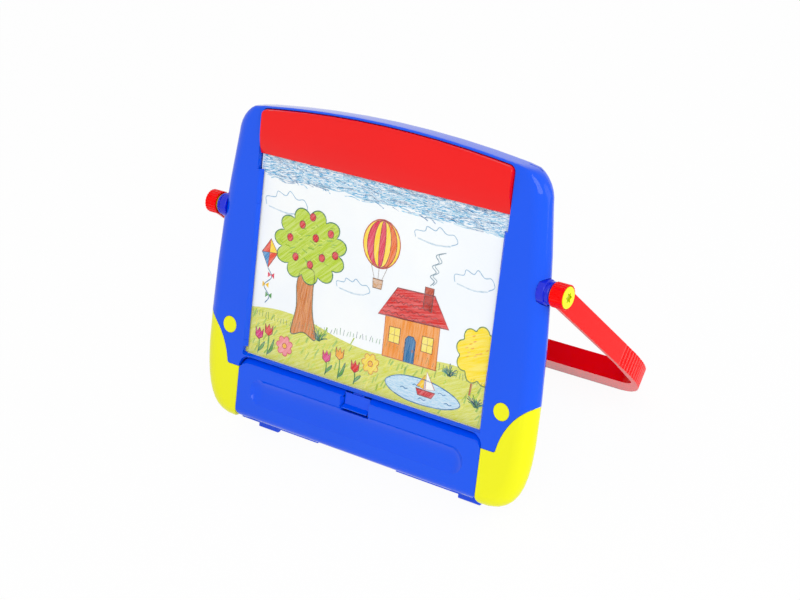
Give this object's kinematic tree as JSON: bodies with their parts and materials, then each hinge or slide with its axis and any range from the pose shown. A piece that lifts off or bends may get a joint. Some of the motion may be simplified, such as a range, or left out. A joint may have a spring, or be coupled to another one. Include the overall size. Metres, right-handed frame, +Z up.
{
  "type": "kids tabletop easel",
  "caption": "Tabletop drawing easel for kids: a rounded blue board with a clear window over a drawing sheet, red header, yellow feet, a drop-down storage tray and a swing-out red stand that is also the handle",
  "frame": {"origin": "the middle of the overall footprint, on the table; the lugs under the board's back edge and the stand's cross bar rest at height 0", "axes": "X to the right across the board, Y backwards towards the stand's cross bar, Z up"},
  "size_m": [0.4302, 0.2688, 0.3365],
  "materials": {
    "blue_plastic": "glossy injection moulded blue plastic",
    "red_plastic": "glossy injection moulded red plastic",
    "stand_plastic": "glossy red plastic band with ribbed caps",
    "yellow_plastic": "glossy yellow plastic",
    "hub_plastic": "deep blue polished plastic",
    "washer_plastic": "satin yellow plastic",
    "clear_plastic": "clear thin plastic sheet",
    "paper": "white drawing paper with a child's drawing",
    "grey_plastic": "pale grey backing sheet",
    "steel": "plain zinc plated steel"
  },
  "bodies": {
    "board": {"front_frame": "blue_plastic", "rear_shell": "blue_plastic", "header_panel": "red_plastic", "clear_window": "clear_plastic", "drawing_sheet": "paper", "backing_board": "grey_plastic", "storage_bin": "blue_plastic", "foot_left": "yellow_plastic", "foot_right": "yellow_plastic", "dot_cap_left": "yellow_plastic", "dot_cap_right": "yellow_plastic", "hub_left": "hub_plastic", "hub_right": "hub_plastic", "friction_washer_left": "washer_plastic", "friction_washer_right": "washer_plastic", "star_bolt_left": "yellow_plastic", "star_bolt_right": "yellow_plastic", "bolt_nut_left": "steel", "bolt_nut_right": "steel", "case_screws": "steel", "foot_screws": "steel"},
    "stand": {"stand_handle": "stand_plastic"},
    "door": {"tray_door": "blue_plastic", "door_hinge_pin_left": "steel", "door_hinge_pin_right": "steel", "latch_spring": "steel"},
    "latch": {"door_latch": "blue_plastic"}
  },
  "joints": [
    {"name": "stand_swivel", "type": "hinge", "parent": "board", "child": "stand", "pos_m": [0, -0.04894, 0.22099], "axis": [1, 0, 0], "range_deg": [-60, 119.5]},
    {"name": "door_hinge", "type": "hinge", "parent": "board", "child": "door", "pos_m": [0, -0.12474, 0.03051], "axis": [1, 0, 0], "range_deg": [0, 95]},
    {"name": "latch_slide", "type": "slide", "parent": "door", "child": "latch", "axis": [0, -0.3583, -0.9336], "range_m": [0, 0.0025], "stiffness_N_per_m": 300, "springref_m": -0.001, "deforming": ["latch_spring"]}
  ]
}
